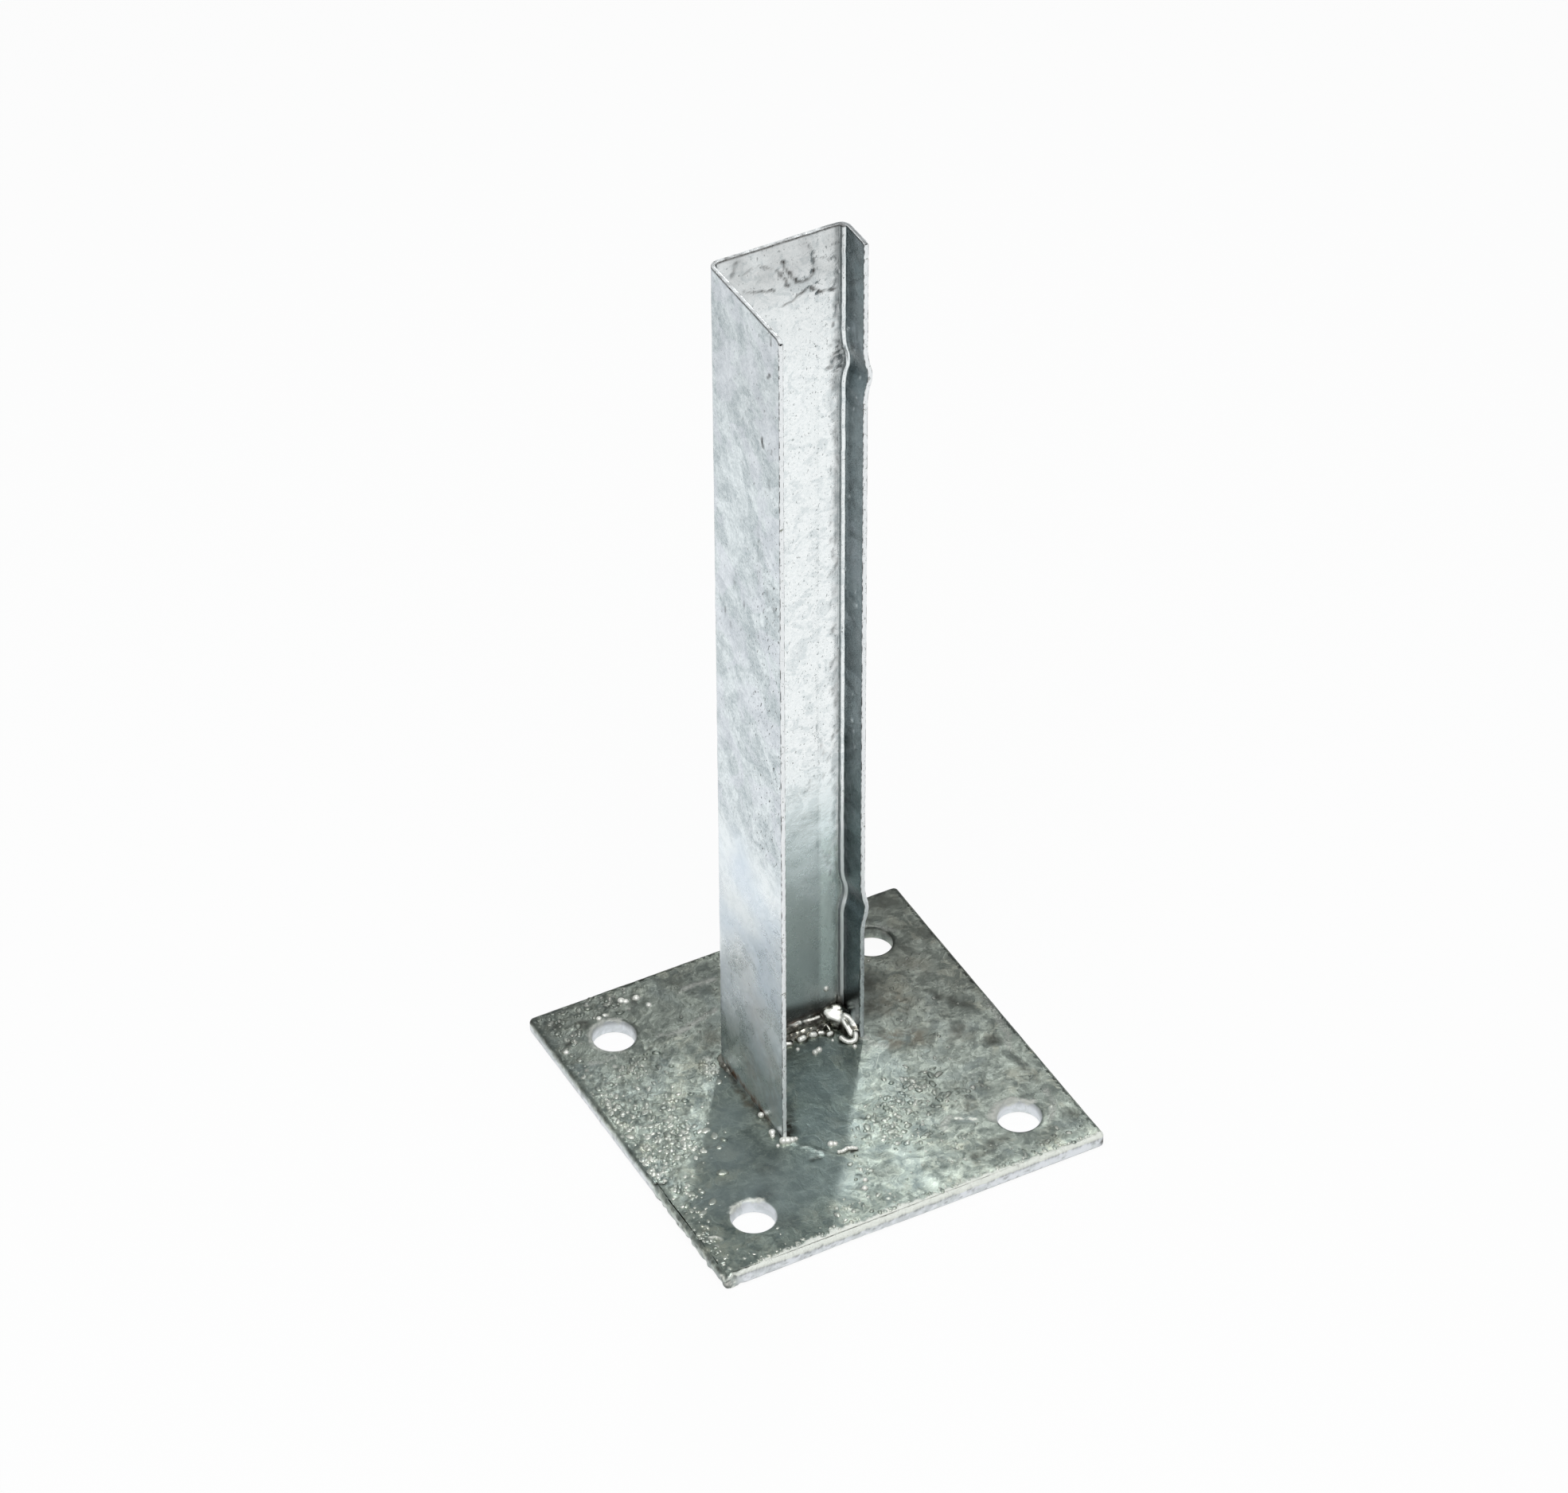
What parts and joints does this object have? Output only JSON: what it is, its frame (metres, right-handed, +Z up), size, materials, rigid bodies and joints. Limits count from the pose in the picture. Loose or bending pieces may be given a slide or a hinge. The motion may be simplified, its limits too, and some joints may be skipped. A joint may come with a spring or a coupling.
{
  "type": "base plate",
  "caption": "Galvanised square base plate with corner bolt holes and a welded folded-channel spigot with pressed grip ribs, for standing a square tube post on concrete.",
  "frame": {"origin": "centre of the plate's underside, in the plane that rests on the ground", "axes": "+Z up along the upright; +Y towards the channel's web, so the channel is open towards -Y; +X towards its short ribbed flange"},
  "size_m": [0.15, 0.15, 0.35],
  "materials": {
    "zinc_plate": "hot-dip zinc, mottled, half matt",
    "zinc_sheet": "hot-dip zinc, bright, with run marks",
    "zinc_weld": "hot-dip zinc over a rough weld bead, glossy"
  },
  "bodies": {
    "root": {"base_plate": "zinc_plate", "upright": "zinc_sheet", "weld_inside": "zinc_weld", "weld_behind": "zinc_weld"}
  },
  "joints": []
}
